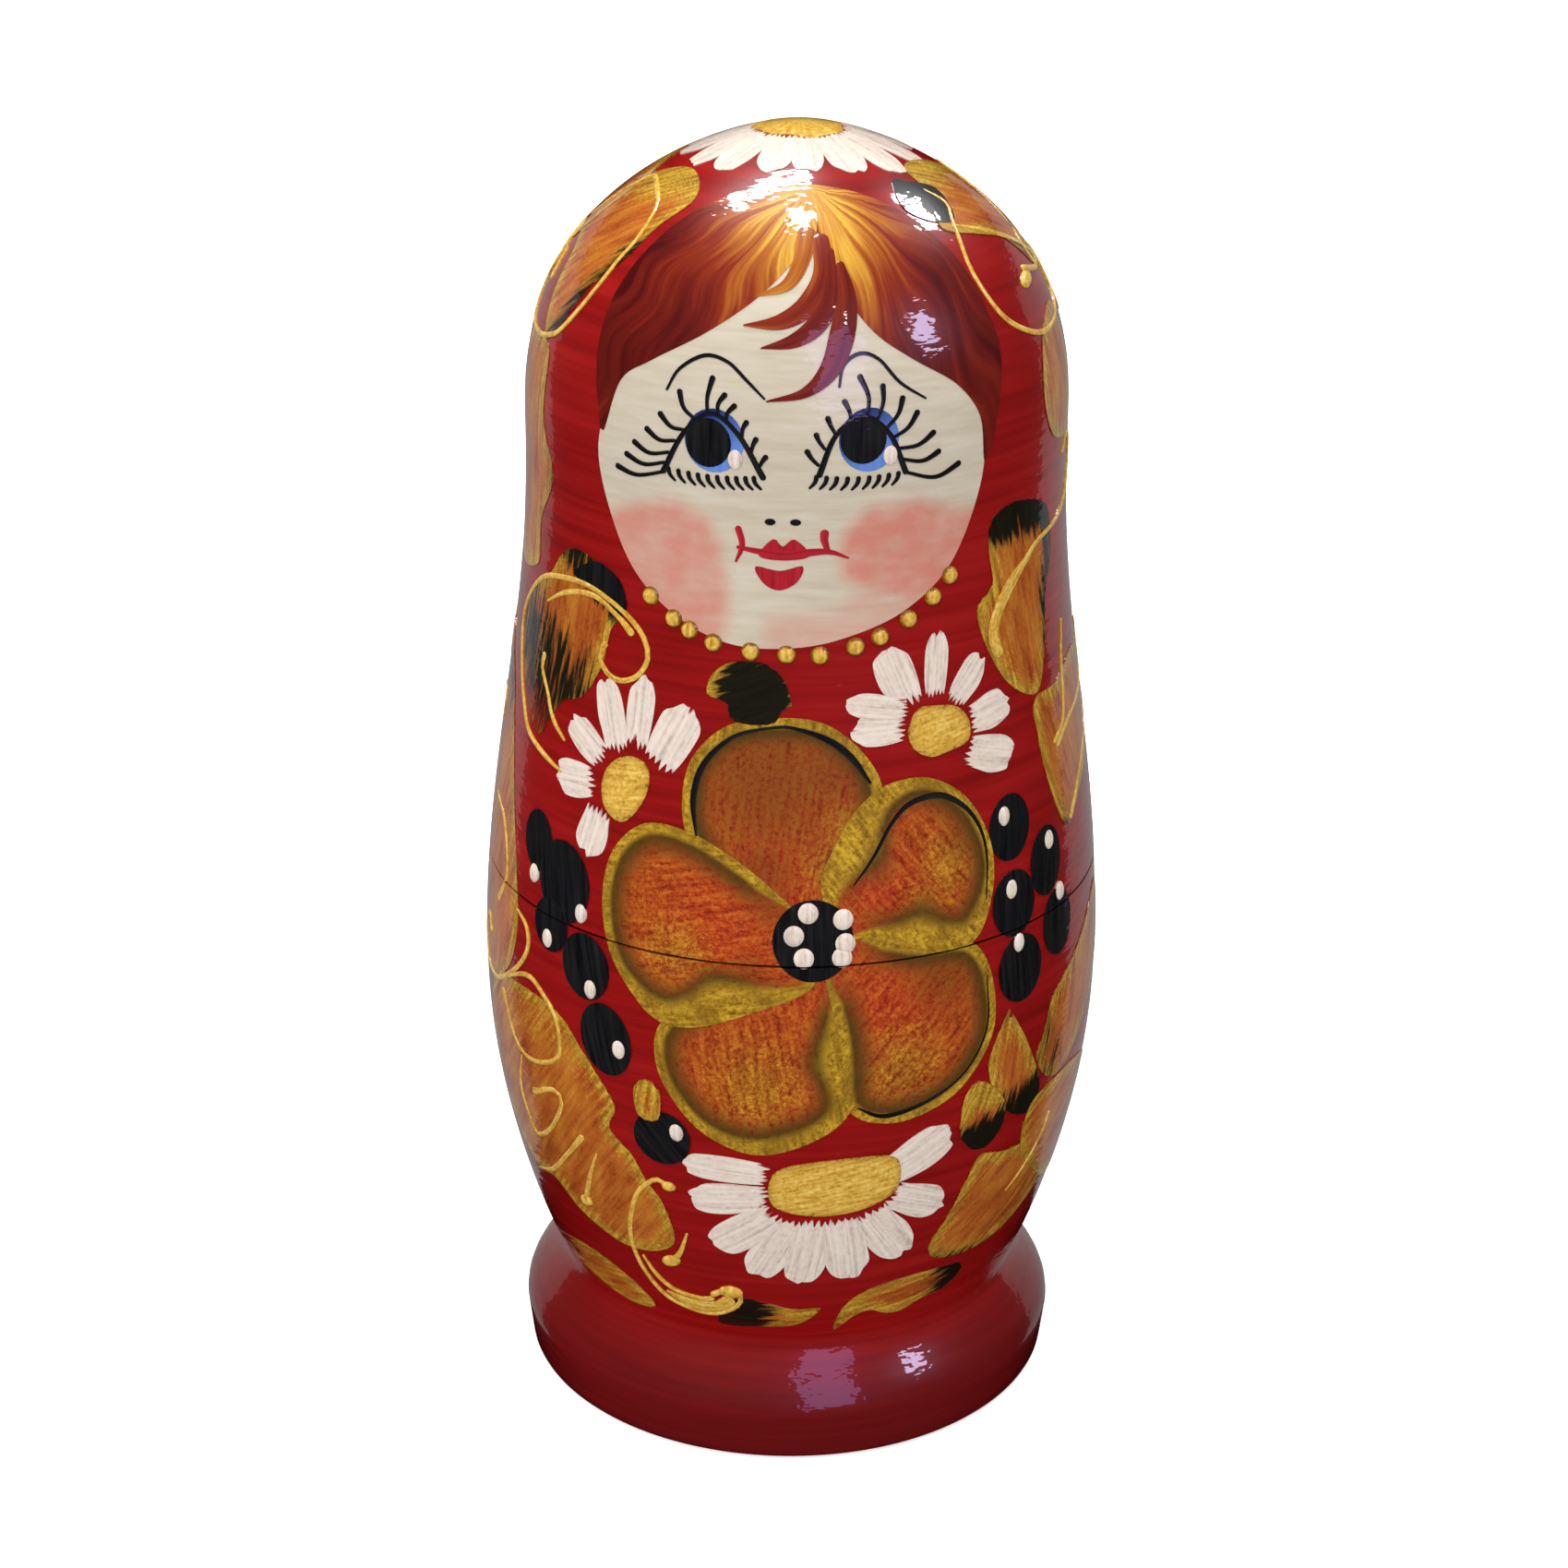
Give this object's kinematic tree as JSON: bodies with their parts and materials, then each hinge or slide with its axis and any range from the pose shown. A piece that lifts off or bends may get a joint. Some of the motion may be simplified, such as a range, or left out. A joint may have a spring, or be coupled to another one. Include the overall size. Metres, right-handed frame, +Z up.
{
  "type": "nesting doll",
  "caption": "Painted wooden nesting doll on a flared foot. It opens at the waist, and smaller dolls stand inside it, round a solid smallest one.",
  "frame": {"origin": "centre of the flat underside of the largest doll's foot", "axes": "+Z up along the turned axis, the face looks along -Y, +X to the viewer's right when looking at the face"},
  "size_m": [0.0816, 0.0816, 0.17],
  "materials": {
    "red_lacquer": "limewood painted red under a clear gloss lacquer",
    "bare_wood": "unpainted turned limewood, matt, inside the shells and on the spigots",
    "gold_paint": "gold and orange tempera on the wood, under the lacquer",
    "white_paint": "white tempera on the wood, under the lacquer",
    "black_paint": "black tempera on the wood, under the lacquer",
    "face_paint": "pale wood of the face with pink cheeks, under the lacquer"
  },
  "bodies": {
    "lower_1": {"doll_1_lower": "red_lacquer"},
    "lower_2": {"doll_2_lower": "red_lacquer"},
    "lower_3": {"doll_3_lower": "red_lacquer"},
    "lower_4": {"doll_4_lower": "red_lacquer"},
    "solid_5": {"doll_5_solid": "red_lacquer"},
    "upper_4": {"doll_4_upper": "red_lacquer"},
    "upper_3": {"doll_3_upper": "red_lacquer"},
    "upper_2": {"doll_2_upper": "red_lacquer"},
    "upper_1": {"doll_1_upper": "red_lacquer"}
  },
  "joints": [
    {"name": "lower_2_lift", "type": "slide", "parent": "lower_1", "child": "lower_2", "axis": [0, 0, 1], "range_m": [0, 0.08]},
    {"name": "lower_3_lift", "type": "slide", "parent": "lower_2", "child": "lower_3", "axis": [0, 0, 1], "range_m": [0, 0.06]},
    {"name": "lower_4_lift", "type": "slide", "parent": "lower_3", "child": "lower_4", "axis": [0, 0, 1], "range_m": [0, 0.045]},
    {"name": "solid_5_lift", "type": "slide", "parent": "lower_4", "child": "solid_5", "axis": [0, 0, 1], "range_m": [0, 0.033]},
    {"name": "upper_4_lift", "type": "slide", "parent": "solid_5", "child": "upper_4", "axis": [0, 0, 1], "range_m": [0, 0.027]},
    {"name": "upper_3_lift", "type": "slide", "parent": "upper_4", "child": "upper_3", "axis": [0, 0, 1], "range_m": [0, 0.036]},
    {"name": "upper_2_lift", "type": "slide", "parent": "upper_3", "child": "upper_2", "axis": [0, 0, 1], "range_m": [0, 0.048]},
    {"name": "upper_1_lift", "type": "slide", "parent": "upper_2", "child": "upper_1", "axis": [0, 0, 1], "range_m": [0, 0.065]}
  ]
}
